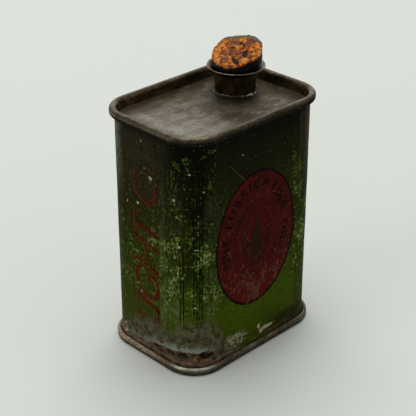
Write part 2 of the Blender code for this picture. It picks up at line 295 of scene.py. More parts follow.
class Shader:
    """One material's nodes. Each method adds a node and returns its output socket."""

    def __init__(self, name, on_sheet=False):
        self.material = bpy.data.materials.new(name)
        self.material.use_nodes = True
        self.tree = self.material.node_tree
        self.surface = self.tree.nodes["Principled BSDF"]
        self.place = self.sheet_place() if on_sheet else self.object_place()

    def plug(self, socket, value):
        if isinstance(value, bpy.types.NodeSocket):
            self.tree.links.new(value, socket)
        else:
            socket.default_value = value

    def add(self, kind, inputs, output=0, **settings):
        node = self.tree.nodes.new("ShaderNode" + kind)
        for key, value in settings.items():
            setattr(node, key, value)
        for key, value in inputs.items():
            self.plug(node.inputs[key], value)
        return node.outputs[output]

    def sheet_place(self):
        return self.add("Attribute", {}, "Vector", attribute_name="sheet_place")

    def object_place(self):
        """The frame's own coordinates, in millimetres."""
        place = self.add("TexCoord", {}, "Object")
        return self.add("VectorMath", {0: place, 1: (1000, 1000, 1000)}, operation="MULTIPLY")

    def split(self, vector):
        node = self.tree.nodes.new("ShaderNodeSeparateXYZ")
        self.plug(node.inputs[0], vector)
        return node.outputs

    def math(self, operation, a, b=0.0, c=0.0):
        return self.add("Math", {0: a, 1: b, 2: c}, operation=operation)

    def plus(self, value, factor, base):
        """The base plus the value times the factor."""
        return self.math("MULTIPLY_ADD", value, factor, base)

    def ramp(self, value, low, high):
        """0 at low and 1 at high, with a smooth step between. High may be the smaller."""
        inputs = {"Value": value, "From Min": low, "From Max": high}
        return self.add("MapRange", inputs, interpolation_type="SMOOTHSTEP")

    def moved_place(self, scale, seed):
        inputs = {0: self.place, 1: scale, 2: [seed] * 3}
        return self.add("VectorMath", inputs, operation="MULTIPLY_ADD")

    def noise(self, size, detail=2.0, stretch=(1, 1, 1), seed=0.0, rough=0.5):
        """Noise around 0.5 whose features are about size long, times stretch along each axis."""
        moved = self.moved_place([1 / (size * along) for along in stretch], seed)
        inputs = {"Vector": moved, "Scale": 1.0, "Detail": detail, "Roughness": rough}
        return self.add("TexNoise", inputs)

    def cell_edges(self, size, seed):
        """How far a point is from the nearest edge of cells of this size, for their size."""
        inputs = {"Vector": self.moved_place([1 / size] * 3, seed), "Scale": 1.0}
        return self.add("TexVoronoi", inputs, "Distance", feature="DISTANCE_TO_EDGE")

    def distance(self, point):
        return self.add("VectorMath", {0: self.place, 1: point}, "Value", operation="DISTANCE")

    def stops(self, value, points):
        """Straight lines between (value, result) points. Results are colours, or from 0 to 1."""
        low, high = points[0][0], points[-1][0]
        place = self.add("MapRange", {"Value": value, "From Min": low, "From Max": high})
        node = self.tree.nodes.new("ShaderNodeValToRGB")
        self.plug(node.inputs[0], place)
        elements = node.color_ramp.elements
        for where, result in points:
            if where == low:
                element = elements[0]
            elif where == high:
                element = elements[-1]
            else:
                element = elements.new((where - low) / (high - low))
            element.color = srgb(result) if isinstance(result, tuple) else (result, result, result, 1)
        return node.outputs[0]

    def mix(self, factor, a, b):
        """From colour a to colour b. Either may be a tuple of screen values."""
        a, b = [srgb(colour) if isinstance(colour, tuple) else colour for colour in (a, b)]
        return self.add("Mix", {0: factor, 6: a, 7: b}, 2, data_type="RGBA")

    def blend(self, factor, a, b):
        return self.add("Mix", {0: factor, 2: a, 3: b}, 0, data_type="FLOAT")

    def times(self, *values):
        total = values[0]
        for value in values[1:]:
            total = self.math("MULTIPLY", total, value)
        return total

    def most(self, *values):
        total = values[0]
        for value in values[1:]:
            total = self.math("MAXIMUM", total, value)
        return total

    def bump(self, height, distance, strength=1.0, normal=None):
        inputs = {"Height": height, "Distance": distance, "Strength": strength}
        if normal:
            inputs["Normal"] = normal
        return self.add("Bump", inputs, "Normal")

    def finish(self, colour, roughness, metallic=0.0, normal=None, specular=0.5):
        self.plug(self.surface.inputs["Base Color"], colour)
        self.plug(self.surface.inputs["Roughness"], roughness)
        self.plug(self.surface.inputs["Metallic"], metallic)
        self.surface.inputs["Specular IOR Level"].default_value = specular
        if normal:
            self.plug(self.surface.inputs["Normal"], normal)
        return self.material


# ---------------------------------------------------------------- printed sheet


def green_print(s, u, z):
    """The green ground colour: mossy low down, nearly black with old oil under the top rim."""
    drift = s.math("SUBTRACT", s.noise(16, 3, seed=2.0), 0.5)
    height = s.plus(drift, 22.0, z)
    front = s.stops(height, (
        (4, (44, 52, 5)), (11, (60, 76, 0)), (18, (63, 80, 0)), (26, (56, 70, 0)),
        (38, (44, 54, 0)), (50, (38, 42, 1)), (62, (34, 36, 2)), (74, (25, 26, 2)),
        (84, (13, 14, 5)),
    ))
    side = s.stops(height, (
        (8, (60, 66, 20)), (22, (52, 60, 5)), (38, (48, 54, 4)), (50, (42, 44, 4)),
        (60, (36, 34, 8)), (70, (43, 37, 20)), (84, (43, 40, 26)),
    ))
    colour = s.mix(s.ramp(u, -6, -14), front, side)
    streak = s.noise(1.1, 3, (1, 14, 1), seed=3.0)
    colour = s.mix(s.times(s.ramp(streak, 0.48, 0.30), s.ramp(z, 6, 44), 0.5), colour, (14, 16, 3))
    return s.mix(s.times(s.ramp(streak, 0.54, 0.74), s.ramp(z, 80, 56), 0.4), colour, (60, 80, 10))


def grain(s, u, z, colour):
    """Lifted grains of lacquer, thick near the front left corner and thin on the clean faces."""
    across = s.stops(u, (
        (-40, 0.60), (-31, 0.56), (-24, 0.60), (-15, 0.74), (-9, 0.92), (-3, 0.97), (-0.5, 0.8),
        (2.5, 0.75), (4, 0.95), (8, 0.85), (12, 0.50), (16, 0.22), (30, 0.10), (40, 0.12),
        (44, 0.6), (48, 0.95), (53, 0.85), (62, 0.5), (80, 0.3),
    ))
    up = s.stops(z, (
        (8, 0.15), (19, 0.55), (26, 0.95), (46, 1.0), (54, 0.75), (62, 0.50), (76, 0.36), (87, 0.15),
    ))
    thick = s.times(across, up)
    clumps = s.noise(5.0, 3, (1, 1.7, 1), seed=4.0, rough=0.6)
    thick = s.times(thick, s.ramp(clumps, 0.30, 0.62))
    fine = s.noise(1.0, 4, (1, 1.25, 1), seed=5.0, rough=0.68)
    speckled = s.noise(0.7, 3, (1, 1.3, 1), seed=18.0, rough=0.7)
    colour = s.mix(s.times(s.ramp(speckled, 0.50, 0.32), 0.55), colour, (9, 9, 2))
    colour = s.mix(s.times(s.ramp(speckled, 0.56, 0.74), s.ramp(z, 90, 60), 0.5), colour, (78, 80, 34))
    pits = s.times(s.ramp(fine, 0.48, 0.36), s.blend(thick, 0.3, 0.9))
    colour = s.mix(pits, colour, (13, 15, 2))
    raised = s.plus(thick, 0.29, fine)
    green = s.mix(s.ramp(clumps, 0.45, 0.68), (60, 81, 12), (86, 103, 40))
    colour = s.mix(s.times(s.ramp(raised, 0.65, 0.75), 0.85), colour, green)
    pale = s.mix(s.noise(3, 1, seed=6.0), (108, 124, 60), (136, 142, 108))
    return s.mix(s.times(s.ramp(raised, 0.77, 0.83), 0.85), colour, pale)


def pale_stripes(s, u, z, colour):
    """Upright streaks of thin grey-green film beside the corner."""
    where = s.stops(u, (
        (-15, 0.0), (-13.5, 0.75), (-11.5, 0.7), (-10.5, 0.15), (-7, 0.3), (-5.2, 0.7), (-4, 0.5),
        (-3, 0.0), (3.5, 0.0), (4.5, 0.5), (7.5, 0.55), (9, 0.1), (12, 0),
    ))
    up = s.stops(z, ((12, 0.6), (20, 1), (36, 0.9), (48, 0.55), (66, 0.5), (72, 0)))
    mottle = s.noise(1.5, 4, (0.8, 3.0, 1), seed=7.0, rough=0.6)
    amount = s.times(s.ramp(mottle, 0.40, 0.62), where, up)
    return s.mix(amount, colour, (92, 102, 66))


def near_line(s, value, centre, half_width):
    """1 on a line at the centre value, fading out at its edges."""
    away = s.math("ABSOLUTE", s.math("SUBTRACT", value, centre))
    return s.ramp(away, half_width * 1.4, half_width * 0.6)


def printed_lines(s, u, z, colour):
    """Thin dark printed lines that run up the can on both sides of the corner."""
    single = s.most(near_line(s, u, -4.6, 0.26), near_line(s, u, -3.5, 0.26))
    single = s.times(single, s.ramp(z, 54, 46))
    triple = [near_line(s, u, position, 0.24) for position in (0.2, 1.15, 2.1, 3.0)]
    kept = s.ramp(s.noise(1.3, 4, (1, 3.0, 1), seed=8.0, rough=0.6), 0.38, 0.50)
    lines = s.times(s.most(single, *triple), kept, s.ramp(z, 18.5, 20.5), s.ramp(z, 82, 72))
    return s.mix(s.times(lines, 0.9), colour, (8, 10, 3))


def oval_reach(s, u, z):
    """How far out a point is on the printed oval: 0 at its middle and 1 at its edge."""
    across = s.math("DIVIDE", s.math("SUBTRACT", u, OVAL_ROUND), OVAL_HALF_WIDTH)
    up = s.math("DIVIDE", s.math("SUBTRACT", z, OVAL_HEIGHT), OVAL_HALF_HEIGHT)
    total = s.math("ADD", s.math("MULTIPLY", across, across), s.math("MULTIPLY", up, up))
    return s.math("SQRT", total)


def printed_oval(s, u, z, colour):
    """The dark red oval with its black outline, its inner ring, and flaking at its foot."""
    reach = oval_reach(s, u, z)
    tone = s.noise(6, 3, seed=11.0)
    red = s.mix(s.ramp(tone, 0.35, 0.65), (58, 12, 8), (76, 15, 10))
    low = s.ramp(s.plus(tone, 14, z), 50, 30)
    red = s.mix(s.times(low, 0.6), red, (88, 17, 13))
    fine = s.noise(0.9, 4, seed=13.0, rough=0.6)
    red = s.mix(s.times(s.ramp(fine, 0.50, 0.36), 0.6), red, (36, 9, 5))
    where = s.stops(z, ((18, 0.9), (24, 1.0), (34, 0.55), (44, 0.25), (60, 0.0)))
    patches = s.ramp(s.noise(6.0, 2, seed=15.0), 0.36, 0.60)
    patches = s.most(patches, spots(s, ((27, 24.5, 3.6, 5), (15.5, 33, 2.2, 5)), 0.5))
    lifted = s.noise(1.3, 5, (1, 1.5, 1), seed=14.0, rough=0.66)
    lifted = s.plus(s.times(where, patches), 0.17, lifted)
    red = s.mix(s.times(s.ramp(lifted, 0.60, 0.70), 0.75), red, (88, 60, 46))
    scraped = s.noise(1.2, 3, (1, 5, 1), seed=16.0)
    red = s.mix(s.times(s.ramp(scraped, 0.42, 0.28), 0.45), red, (34, 12, 6))
    colour = s.mix(s.ramp(reach, 1.004, 0.996), colour, red)
    worn = s.ramp(s.noise(1.5, 3, seed=17.0), 0.30, 0.42)
    edge = s.times(near_line(s, reach, 0.993, 0.020), worn)
    rings = s.most(near_line(s, reach, 0.56, 0.011), near_line(s, reach, 0.51, 0.007))
    rings = s.times(rings, worn, 0.7)
    return s.mix(s.most(edge, rings), colour, (10, 6, 4))


def spots(s, centres, ragged=0.8):
    """1 inside ragged spots, each (round, height, half width, half height) in millimetres."""
    shake = s.math("SUBTRACT", s.noise(0.9, 3, seed=29.0, rough=0.6), 0.5)
    found = []
    for round_place, height, half_width, half_height in centres:
        size = (1 / half_width, 1 / half_height, 0)
        middle = (-round_place / half_width, -height / half_height, 0)
        away = s.add("VectorMath", {0: s.place, 1: size, 2: middle}, operation="MULTIPLY_ADD")
        away = s.add("VectorMath", {0: away}, "Value", operation="LENGTH")
        away = s.plus(shake, ragged * 2, away)
        found.append(s.ramp(away, 1.1, 0.9))
    return s.most(*found)


def scratches(s, lines):
    """1 on thin broken straight scratches, each (start round, height, end round, height, width)."""
    broken = s.ramp(s.noise(0.9, 2, seed=33.0), 0.36, 0.46)
    found = []
    for u0, z0, u1, z1, width in lines:
        length = math.hypot(u1 - u0, z1 - z0)
        along = ((u1 - u0) / length, (z1 - z0) / length, 0)
        across = (-along[1], along[0], 0)
        middle = ((u0 + u1) / 2, (z0 + z1) / 2, 0)
        offset = s.add("VectorMath", {0: s.place, 1: middle}, operation="SUBTRACT")
        far = s.add("VectorMath", {0: offset, 1: along}, "Value", operation="DOT_PRODUCT")
        side = s.add("VectorMath", {0: offset, 1: across}, "Value", operation="DOT_PRODUCT")
        inside = s.ramp(s.math("ABSOLUTE", far), length / 2, length / 2 - 0.4)
        found.append(s.times(inside, near_line(s, side, 0.0, width)))
    return s.times(s.most(*found), broken)


PALE_CHIPS = (
    (30, 7.7, 0.6, 1.2), (33.9, 5.9, 3.1, 0.7), (31.2, 5.1, 1.0, 0.5), (-33.2, 7.8, 0.5, 0.4),
    (-32.4, 4.8, 0.8, 0.6), (-5.0, 50.0, 0.5, 0.5), (-17.7, 70.8, 0.75, 0.7), (-20.6, 73.6, 0.35, 0.25),
    (-6.7, 66.8, 0.4, 0.5), (1.0, 49.4, 0.8, 0.2), (-1.0, 77.0, 0.3, 0.3), (3.6, 70.5, 0.3, 0.3),
    (0.6, 26.9, 0.7, 0.28), (-24.4, 59.5, 0.6, 0.5), (-29.5, 58.5, 0.3, 0.5), (-5.4, 39.8, 0.3, 0.35),
    (-8.6, 39.9, 0.3, 0.35), (-23.5, 25.2, 0.4, 0.35), (-25.0, 28.0, 0.4, 0.3), (-21.9, 83.0, 0.25, 0.25),
    (20.5, 78.4, 0.4, 0.22), (60, 12, 0.6, 1.1), (84, 60, 0.5, 0.5), (-70, 10, 1.3, 0.9),
    (-58, 62, 0.6, 0.4), (-96, 30, 0.4, 1.0),
)
DARK_BLOTCHES = ((-16, 5.9, 2.0, 0.8), (-9.5, 6.6, 2.4, 0.9), (-4, 7.6, 1.8, 0.8), (4.6, 7.3, 2.8, 1.4))
BARE_STREAKS = ((-26, 4.0, 7.0, 0.5), (-10, 4.2, 8.0, 0.4), (9, 4.0, 6.0, 0.4))
PINK_SPOTS = ((0.2, 6.2, 0.5, 0.8), (4.0, 5.2, 1.6, 0.4), (-3.0, 4.4, 2.0, 0.3))
GREEN_MARKS = (
    (6.3, 84.3, 2.2, 0.6), (3.3, 82.9, 1.2, 0.5), (-2.3, 81.8, 1.2, 1.1), (-6.0, 79.6, 1.3, 1.0),
    (-1.8, 78.2, 0.6, 1.4), (5.8, 73.0, 0.6, 2.4), (48.0, 64.3, 2.6, 2.2), (46.0, 69.5, 1.1, 2.0),
    (50.0, 57.0, 0.9, 3.0), (-7.5, 74, 0.4, 3.0),
)
SCRATCHES = (
    (14.9, 76.2, 21.8, 68.8, 0.09), (-10.6, 23.6, -8.2, 25.2, 0.26), (-8.4, 25.2, -5.0, 23.9, 0.28),
    (-13.2, 44.5, -14.5, 49.5, 0.14), (34, 61, 40, 57.5, 0.05), (21, 50, 25, 44, 0.06),
    (70, 22, 77, 34, 0.14),
)


def worn_places(s, u, z):
    """Grey film over the print's foot, its bright lower fringe, and the bare rusty margin."""
    ragged = s.math("SUBTRACT", s.noise(1.6, 5, (1, 1.3, 1), seed=19.0, rough=0.6), 0.5)
    wide = s.math("SUBTRACT", s.noise(5.0, 2, seed=23.0), 0.5)
    top = s.stops(u, (
        (-120, 0.09), (-60, 0.11), (-38, 0.07), (-33, 0.09), (-27, 0.13), (-20, 0.155), (-15, 0.15),
        (-9, 0.135), (-6, 0.185), (-2, 0.205), (4, 0.205), (8, 0.19), (11, 0.14), (14, 0.06),
        (20, 0.03), (50, 0.04), (62, 0.1), (80, 0.09),
    ))
    height = s.plus(ragged, 7.0, s.plus(wide, 3.0, z))
    film = s.ramp(s.plus(top, -100, height), 2.2, -1.6)
    edge = s.stops(u, (
        (-120, 0.06), (-60, 0.055), (-38, 0.045), (-22, 0.05), (-18.5, 0.062), (-15, 0.070),
        (-9, 0.078), (-5, 0.084), (3, 0.087), (6, 0.083), (9, 0.066), (13, 0.048), (17, 0.036),
        (50, 0.034), (62, 0.055), (80, 0.06),
    ))
    above = s.plus(edge, -100, s.plus(ragged, 2.6, z))
    bare = s.ramp(above, 0.12, -0.12)
    comb = s.noise(0.7, 2, (1, 7, 1), seed=24.0)
    fringe = s.plus(comb, 3.0, -0.4)
    fringe = s.ramp(s.math("SUBTRACT", above, fringe), 2.4, -1.0)
    return film, bare, fringe


def worn_print(s, u, z, colour):
    """Wear over the whole print, with painted shade low on the flare and painted sheen towards the far
    corners. Returns the colour, how bare the sheet is, and its chips.
    """
    wide = s.noise(5.0, 2, seed=23.0)
    film, bare, fringe = worn_places(s, u, z)
    tone = s.noise(2.2, 5, (1, 1.15, 1), seed=47.0, rough=0.65)
    grey = s.mix(s.ramp(tone, 0.36, 0.62), (50, 46, 28), (88, 84, 60))
    grey = s.mix(s.ramp(s.noise(0.9, 3, seed=48.0, rough=0.6), 0.60, 0.70), grey, (118, 116, 94))
    colour = s.mix(s.times(film, s.ramp(tone, 0.26, 0.40)), colour, grey)
    bright = s.stops(u, (
        (-38, 0.25), (-24, 0.35), (-19, 0.6), (-12, 0.75), (-8, 0.95), (3, 1), (6, 0.5), (9, 0.0),
        (50, 0.0), (62, 0.4), (80, 0.3),
    ))
    colour = s.mix(s.times(fringe, bright, s.ramp(tone, 0.30, 0.50)), colour, (128, 134, 122))

    rust_tone = s.noise(2.6, 4, seed=53.0)
    rust = s.mix(s.ramp(rust_tone, 0.38, 0.62), (54, 45, 31), (88, 73, 54))
    black = s.times(s.ramp(s.noise(2.4, 3, seed=54.0), 0.54, 0.62), s.ramp(z, 5.6, 7.0))
    dark = s.mix(s.ramp(u, -9, -2), (44, 37, 24), (28, 24, 17))
    rust = s.mix(s.most(black, spots(s, DARK_BLOTCHES, 1.9)), rust, dark)
    rust = s.mix(s.times(spots(s, BARE_STREAKS, 2.0), 0.6), rust, (114, 96, 78))
    rust = s.mix(s.times(spots(s, PINK_SPOTS, 2.0), 0.7), rust, (150, 98, 76))
    rust = s.mix(s.times(s.ramp(s.noise(1.5, 3, seed=55.0), 0.63, 0.72), 0.8), rust, (146, 102, 80))
    colour = s.mix(bare, colour, rust)

    # Painted sheen in a pale grey towards the far corners, high up
    far = s.stops(u, (
        (-49, 0.0), (-42, 0.5), (-38, 0.85), (-35, 0.75), (-31, 0.0),
        (51, 0.0), (57, 0.6), (61, 0.4), (67, 0.0),
    ))
    far = s.times(far, s.ramp(z, 56, 76), s.ramp(tone, 0.30, 0.52))
    colour = s.mix(s.times(far, 0.9), colour, (110, 108, 87))

    # Painted shade: a darker green band low down, where the sheet flares out
    low = s.ramp(s.plus(wide, 2.0, z), 10.5, 8.5)
    low = s.times(s.ramp(u, 34, 42), s.ramp(u, 64, 56), low)
    colour = s.mix(s.times(low, 0.65), colour, (24, 28, 5))
    scuff = spots(s, ((18.4, 7.6, 4.6, 2.5), (14.6, 9.3, 1.5, 1.3)), 1.4)
    scuff = s.times(scuff, s.ramp(s.noise(1.5, 5, seed=57.0, rough=0.7), 0.42, 0.52))
    colour = s.mix(scuff, colour, s.mix(s.noise(1.2, 2, seed=58.0), (96, 86, 66), (160, 150, 130)))
    marks = s.times(spots(s, GREEN_MARKS, 1.6), s.ramp(s.noise(0.9, 3, seed=44.0, rough=0.6), 0.44, 0.58))
    colour = s.mix(s.times(marks, 0.7), colour, (72, 92, 32))
    colour = s.mix(s.times(scratches(s, SCRATCHES), 0.6), colour, (104, 102, 70))
    chips = spots(s, PALE_CHIPS, 1.1)
    colour = s.mix(s.times(chips, 0.92), colour, (168, 158, 132))
    random_chips = s.noise(0.55, 1, (1, 1.3, 1), seed=43.0)
    near_corner = s.stops(u, ((-38, 0.5), (-20, 0.8), (-8, 1), (8, 1), (14, 0.3), (30, 0.15), (54, 0.6)))
    random_chips = s.ramp(s.plus(near_corner, 0.03, random_chips), 0.765, 0.785)
    colour = s.mix(s.times(random_chips, 0.8), colour, (138, 136, 104))
    return colour, s.most(bare, s.times(film, 0.3)), chips


def dark_oil(s, u, z, colour):
    """Baked oil: a dark band down the corner; and grime with painted shade in the angle under the top rim.
    """
    band = s.stops(u, (
        (-17, 0.0), (-12, 0.35), (-7, 0.55), (-3, 0.6), (0, 0.95), (3, 0.98), (5.5, 0.6), (9, 0.2),
        (13, 0.0),
    ))
    up = s.stops(z, ((30, 0.0), (44, 0.5), (54, 0.85), (86, 1.0)))
    ragged = s.noise(3.0, 4, (0.6, 2.2, 1), seed=37.0)
    band = s.times(band, up, s.ramp(ragged, 0.22, 0.48))
    # Grime and painted shade: darker just under the top rim
    rim = s.times(s.ramp(z, 83, 87), 0.8)
    return s.mix(s.most(s.times(band, 0.88), rim), colour, (7, 8, 4))


def printed_material(name, ink=None):
    """The worn printed tinplate. With an ink colour, the print is that ink where it has stayed."""
    s = Shader(name, on_sheet=True)
    round_place, z, _ = s.split(s.place)
    print_place = s.math("WRAP", round_place, HALF_ROUND, -HALF_ROUND)
    colour = green_print(s, print_place, z)
    colour = pale_stripes(s, round_place, z, colour)
    colour = dark_oil(s, round_place, z, colour)
    colour = grain(s, round_place, z, colour)
    colour = printed_lines(s, print_place, z, colour)
    colour = printed_oval(s, print_place, z, colour)
    if ink:
        kept = s.noise(1.3, 4, seed=31.0, rough=0.65)
        side = s.times(s.ramp(kept, 0.37, 0.50), s.stops(z, (
            (14, 0.85), (46, 0.95), (58, 0.8), (66, 0.5), (72, 0.22), (80, 0.06),
        )))
        kept = s.blend(s.ramp(print_place, -2, 2), side, s.times(s.ramp(kept, 0.30, 0.44), 0.92))
        colour = s.mix(kept, colour, ink)
    colour, bare, chips = worn_print(s, round_place, z, colour)

    rough = s.blend(s.noise(5, 3, seed=59.0), 0.42, 0.62)
    height = s.plus(s.noise(0.7, 3, seed=61.0), 0.35, s.noise(9, 2, seed=67.0))
    height = s.math("SUBTRACT", height, s.times(s.most(bare, chips), 0.3))
    return s.finish(colour, rough, s.times(bare, 0.2), s.bump(height, 0.10 * MM), specular=0.015)


# ---------------------------------------------------------------- other finishes

OIL_STAIN = (2.0, -11.0, 85.7)  # millimetres: a brown stain on the sunk panel
CORNER_HIGHLIGHT_PLACE = (-29.2, -20.0, 3.6)  # millimetres: a painted highlight on the lower rim's front left corner, which is also polished


def inset_from_body(s, x, y):
    """Millimetres inside the body's rounded outline, or less than 0 outside it."""
    past_x = s.math("SUBTRACT", s.math("ABSOLUTE", x), STRAIGHT_X / MM)
    past_y = s.math("SUBTRACT", s.math("ABSOLUTE", y), STRAIGHT_Y / MM)
    squares = []
    for past in (past_x, past_y):
        out = s.math("MAXIMUM", past, 0.0)
        squares.append(s.math("MULTIPLY", out, out))
    corner = s.math("SQRT", s.math("ADD", *squares))
    within = s.math("MINIMUM", s.math("MAXIMUM", past_x, past_y), 0.0)
    return s.math("SUBTRACT", (BODY_X - STRAIGHT_X) / MM, s.math("ADD", corner, within))


def tarnished_material(name):
    """Bare tinplate browned with age: grey on the panel, grimy on the rims' inner walls, with painted shade
    on the rims' outer undersides and painted highlights on the lower rim.
    """
    s = Shader(name)
    x, y, z = s.split(s.place)
    tone = s.noise(5, 4, seed=3.0)
    drift = s.math("SUBTRACT", tone, 0.5)

    # The sunk panel: darker round the neck as oil and painted shade, lighter away from it as a painted
    # reflection; darkened along its edges as painted shade under the rims, with brown staining; wiped in
    # streaks
    axis = (NECK_AXIS.x / MM, NECK_AXIS.y / MM, TOP_PANEL / MM)
    from_neck = s.distance(axis)
    from_neck = s.plus(drift, 15.0, from_neck)
    panel = s.stops(from_neck, (
        # Painted reflection and shade, with oil: lighter away from the neck, darker towards it
        (6, (60, 53, 40)), (9, (76, 68, 53)), (13.5, (90, 82, 66)), (19, (100, 93, 78)),
        (25, (112, 106, 91)), (34, (130, 125, 111)), (42, (142, 138, 125)),
    ))
    stain = s.distance(OIL_STAIN)
    stain = s.plus(drift, 8.0, stain)
    panel = s.mix(s.times(s.ramp(stain, 9.0, 3.0), 0.75), panel, (66, 56, 40))
    inset = inset_from_body(s, x, y)
    # Painted shade under the rims, with brown staining: the panel darkens along its edges
    edge_shade = s.plus(drift, 7.0, inset)
    edge_shade = s.stops(edge_shade, ((1, 0.9), (4, 0.74), (6.5, 0.5), (10, 0.0)))
    panel = s.mix(edge_shade, panel, (82, 72, 54))
    blotches = s.noise(3.0, 5, (1.6, 1, 1), seed=8.0, rough=0.66)
    near = s.stops(from_neck, ((9, 0.3), (14, 0.8), (24, 0.8), (34, 0.4)))
    panel = s.mix(s.times(s.ramp(blotches, 0.46, 0.58), near, 0.8), panel, (66, 55, 39))
    panel = s.mix(s.times(s.ramp(blotches, 0.44, 0.30), near, 0.6), panel, (146, 143, 130))

    # The rims: a painted highlight on the lower rim's top and front left corner (polished there), painted
    # shade below on the wide faces, mottled brown inside
    speckle = s.ramp(s.noise(1.5, 4, seed=9.0, rough=0.62), 0.46, 0.68)
    rim = s.mix(s.ramp(tone, 0.34, 0.66), (76, 67, 50), (104, 96, 78))
    rim = s.mix(s.times(speckle, 0.6), rim, (52, 42, 27))
    inner = s.mix(s.ramp(tone, 0.36, 0.64), (92, 76, 50), (136, 122, 94))
    inner = s.mix(s.times(speckle, 0.8), inner, (60, 46, 27))
    low_rim = s.mix(s.ramp(s.noise(7.0, 3, seed=11.0), 0.4, 0.6), (80, 72, 53), (120, 111, 92))
    # Painted highlight on the lower rim's top, and painted shade on its lower half
    low_rim = s.mix(s.times(s.ramp(z, 2.6, 3.5), 0.7), low_rim, (142, 134, 112))
    low_rim = s.mix(s.times(s.ramp(z, 2.6, 1.6), 0.5), low_rim, (54, 48, 34))
    on_side = s.stops(x, ((-33, 1.0), (-30, 0.9), (-26, 0.0)))
    pinkish = s.mix(s.ramp(y, -14, 8), (112, 93, 70), (180, 155, 132))
    # Painted shade: darker towards the bottom of the lower rim
    pinkish = s.mix(s.ramp(z, 2.2, 0.8), pinkish, (88, 72, 52))
    low_rim = s.mix(s.times(on_side, s.ramp(y, -22, -8), 0.9), low_rim, pinkish)
    low_rim = s.mix(s.times(speckle, 0.6), low_rim, (62, 50, 36))
    # Painted highlight on the lower rim's front left corner, with lower roughness there as polish
    corner = s.distance(CORNER_HIGHLIGHT_PLACE)
    corner_highlight = s.times(s.ramp(corner, 11.0, 4.0), s.ramp(z, 1.9, 3.1), s.ramp(tone, 0.25, 0.45))
    low_rim = s.mix(corner_highlight, low_rim, (196, 193, 180))
    rim = s.mix(s.ramp(z, 20, 10), rim, low_rim)
    outside = s.ramp(inset, -0.6, -1.4)
    # Painted shade: the rims' outer undersides and the base rim's foot are painted nearly black, and made
    # rough and not metallic
    underside_shade_height = s.stops(z, (
        (0, 0.95), (0.6, 0.8), (1.4, 0.3), (2.2, 0.0), (85.9, 0.0), (86.1, 1.0), (88.2, 1.0), (88.9, 0.75),
        (89.5, 0.35), (90.0, 0.0),
    ))
    low, high = s.ramp(z, 20, 10), s.ramp(z, 89, 88)
    underside_shade = s.times(underside_shade_height, s.most(low, s.ramp(x, -31, -27), s.ramp(y, -12, -15), high), outside)
    rim = s.mix(underside_shade, rim, (11, 9, 5))
    within = s.times(s.ramp(z, 85.9, 86.4), s.ramp(z, 89.9, 89.3), s.ramp(inset, -0.4, 0.2))
    rim = s.mix(within, rim, inner)
    on_panel = s.times(s.ramp(z, 86.4, 85.8), s.ramp(z, 80, 84))
    colour = s.mix(on_panel, rim, panel)
    flecks = s.noise(0.9, 4, (1.2, 1, 1), seed=16.0, rough=0.7)
    colour = s.mix(s.times(s.ramp(flecks, 0.50, 0.66), 0.45), colour, (62, 48, 30))
    colour = s.mix(s.times(s.ramp(flecks, 0.42, 0.30), 0.25), colour, (160, 156, 142))

    rough = s.blend(s.noise(3, 4, seed=12.0), 0.26, 0.48)
    rough = s.blend(on_panel, rough, s.blend(tone, 0.64, 0.50))
    rough = s.blend(corner_highlight, rough, 0.42)
    rough = s.blend(underside_shade, rough, 0.9)
    height = s.plus(s.noise(0.6, 3, seed=14.0), 0.3, s.noise(5, 2, seed=15.0))
    return s.finish(colour, rough, s.blend(underside_shade, 1.0, 0.0), s.bump(height, 0.10 * MM), 0.05)


def neck_material(name):
    """The neck's tin: brown with baked oil, black inside, lighter along the lip's worn edge."""
    s = Shader(name)
    z = s.split(s.place)[2]
    tone = s.noise(3.0, 4, (1, 1, 1.6), seed=21.0)
    colour = s.mix(s.ramp(tone, 0.35, 0.7), (54, 43, 25), (94, 76, 50))
    edge = s.mix(s.ramp(tone, 0.4, 0.6), (104, 84, 62), (132, 126, 110))
    colour = s.mix(s.stops(z, ((93.4, 0.0), (94.3, 0.4), (94.9, 0.9), (95.1, 1.0))), colour, edge)
    axis = (-NECK_AXIS.x / MM, -NECK_AXIS.y / MM, 0)
    flat = s.add("VectorMath", {0: s.place, 1: (1, 1, 0), 2: axis}, operation="MULTIPLY_ADD")
    reach = s.add("VectorMath", {0: flat}, "Value", operation="LENGTH")
    inside = s.times(s.ramp(reach, 9.6, 9.0), s.ramp(z, 92.6, 93.4))
    inside = s.most(inside, s.ramp(reach, 7.0, 6.95))
    colour = s.mix(inside, colour, (12, 9, 6))
    height = s.noise(1.2, 3, seed=22.0)
    return s.finish(colour, s.blend(tone, 0.36, 0.56), 1.0, s.bump(height, 0.08 * MM))


def solder_material(name):
    """Old grey solder with a few bright specks."""
    s = Shader(name)
    tone = s.noise(1.3, 3, seed=25.0)
    colour = s.mix(s.ramp(tone, 0.56, 0.68), (66, 61, 50), (190, 190, 184))
    height = s.noise(1.0, 3, seed=26.0)
    return s.finish(colour, s.blend(tone, 0.75, 0.25), 1.0, s.bump(height, 0.15 * MM))


